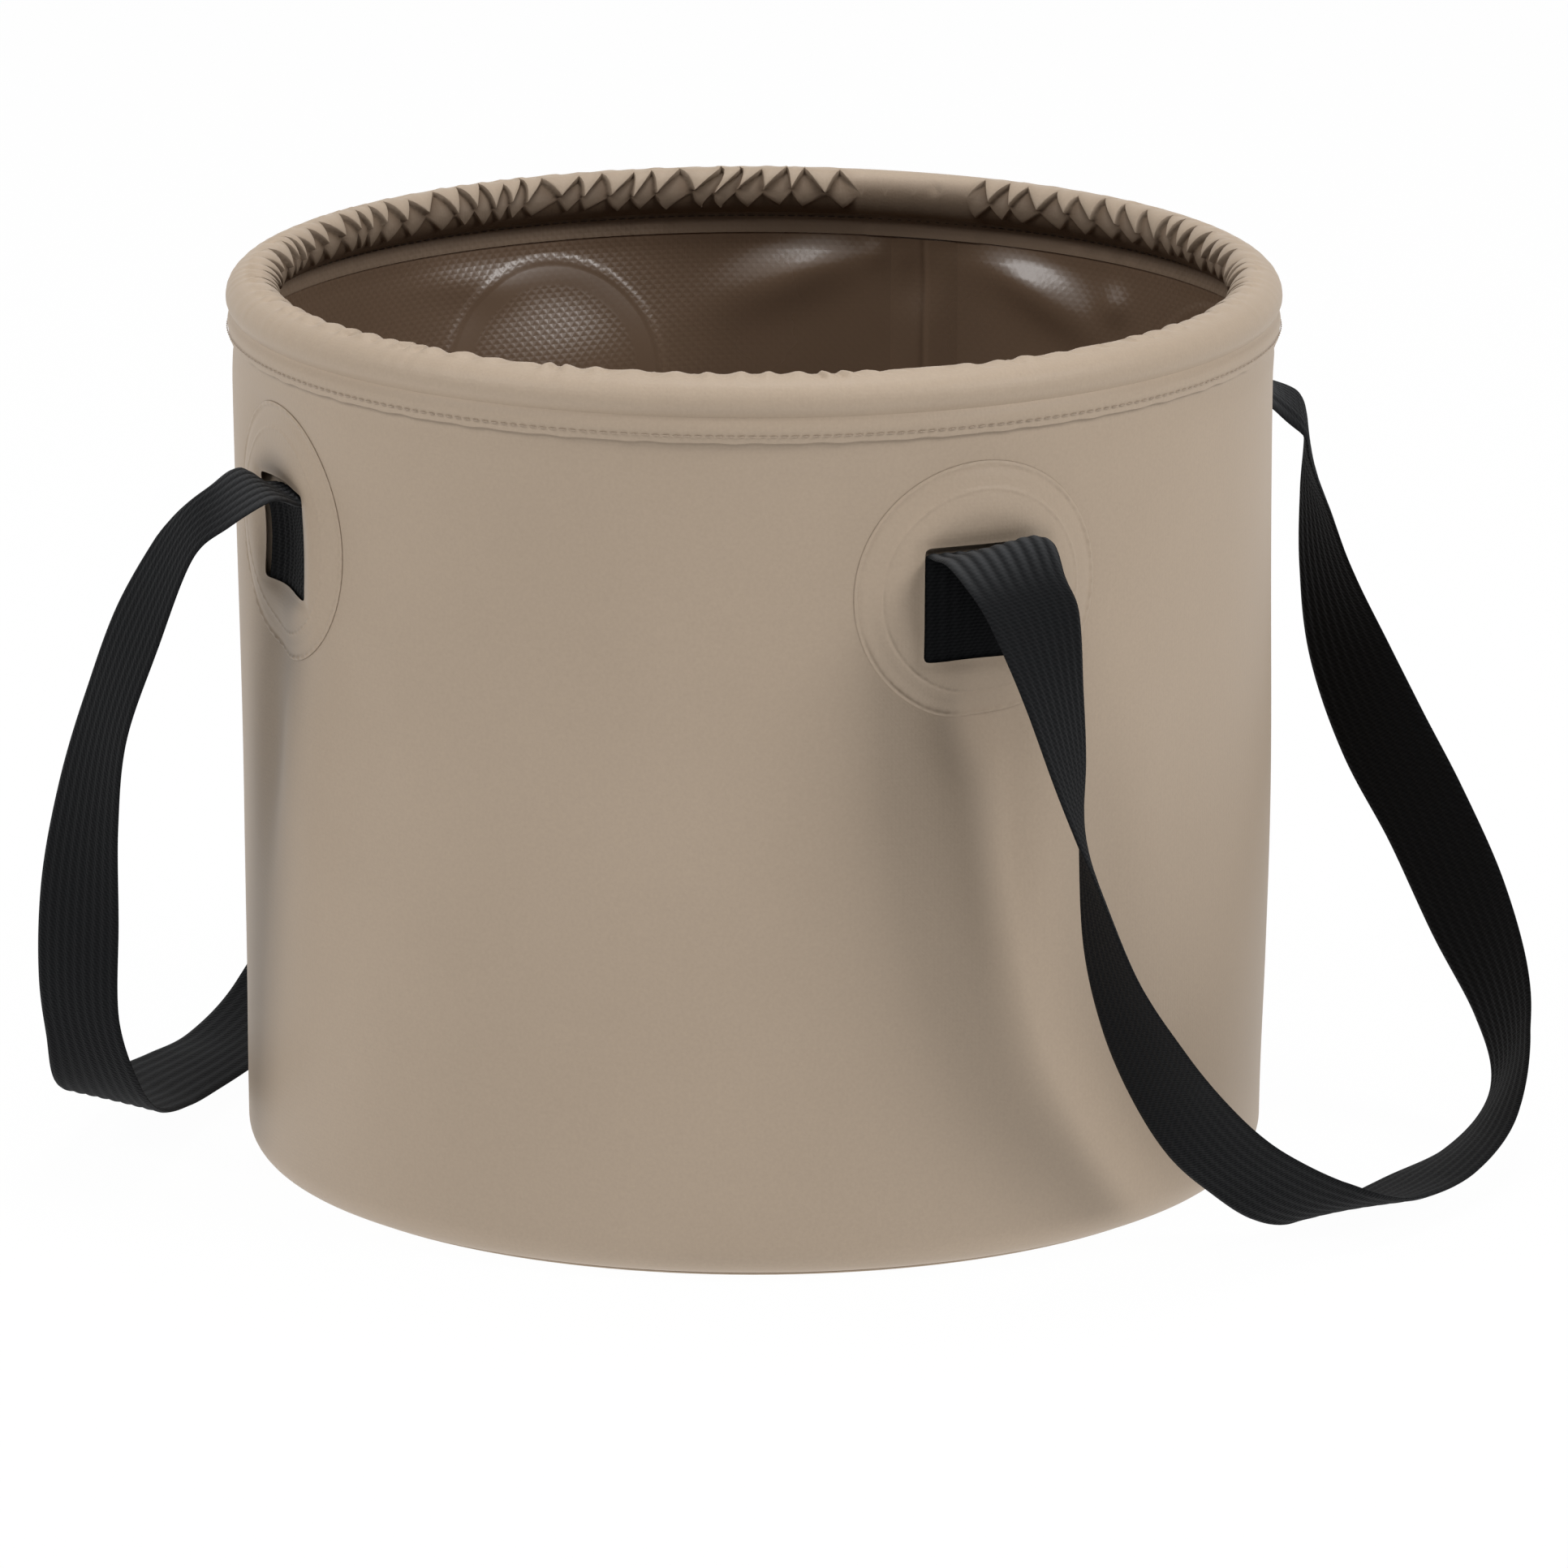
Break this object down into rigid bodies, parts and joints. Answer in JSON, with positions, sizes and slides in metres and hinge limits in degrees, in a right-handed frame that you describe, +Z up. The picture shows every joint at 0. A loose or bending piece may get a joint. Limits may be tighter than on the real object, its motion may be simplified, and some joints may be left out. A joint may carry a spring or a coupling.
{
  "type": "collapsible bucket",
  "caption": "Soft round camp bucket of coated fabric with a gathered rim over a hoop and two webbing carry straps hanging at its sides.",
  "frame": {"origin": "centre of the base panel's underside, on the surface that the bucket stands on", "axes": "+Z up out of the mouth, the two straps hang at +X and -X, +Y towards the wall's seam"},
  "size_m": [0.4533, 0.3342, 0.2871],
  "materials": {
    "coated_fabric": "satin, slightly wrinkled",
    "black_webbing": "ribbed weave",
    "hoop_plastic": "smooth",
    "sewing_thread": "twisted"
  },
  "bodies": {
    "base": {"base_panel": "coated_fabric", "wall_panel": "coated_fabric", "wall_seam_tape": "coated_fabric", "handle_patch_right_front": "coated_fabric", "handle_patch_right_back": "coated_fabric", "handle_patch_left_front": "coated_fabric", "handle_patch_left_back": "coated_fabric"},
    "rim": {"rim_sleeve": "coated_fabric", "rim_hoop": "hoop_plastic", "hoop_joiner": "hoop_plastic", "hem_thread_outside": "sewing_thread", "hem_thread_inside": "sewing_thread"},
    "strap_anchors": {"strap_end_right_front": "black_webbing", "strap_end_right_back": "black_webbing", "strap_end_left_front": "black_webbing", "strap_end_left_back": "black_webbing"},
    "handle_right": {"handle_strap_right": "black_webbing"},
    "handle_left": {"handle_strap_left": "black_webbing"}
  },
  "joints": [
    {"name": "collapse", "type": "slide", "parent": "base", "child": "rim", "axis": [0, 0, -1], "range_m": [0, 0.195], "deforming": ["wall_panel", "wall_seam_tape", "handle_patch_right_front", "handle_patch_right_back", "handle_patch_left_front", "handle_patch_left_back"]},
    {"name": "anchor_drop", "type": "slide", "parent": "base", "child": "strap_anchors", "axis": [0, 0, -1], "range_m": [0, 0.17]},
    {"name": "right_strap_swing", "type": "hinge", "parent": "strap_anchors", "child": "handle_right", "pos_m": [0.14054, 0, 0.2135], "axis": [0, -1, 0], "range_deg": [0, 155], "deforming": ["strap_end_right_front", "strap_end_right_back"]},
    {"name": "left_strap_swing", "type": "hinge", "parent": "strap_anchors", "child": "handle_left", "pos_m": [-0.14301, 0, 0.2135], "axis": [0, 1, 0], "range_deg": [0, 155], "deforming": ["strap_end_left_front", "strap_end_left_back"]}
  ],
  "couplings": [
    {"joint": "anchor_drop", "follows": "collapse", "ratio": 0.8606}
  ]
}
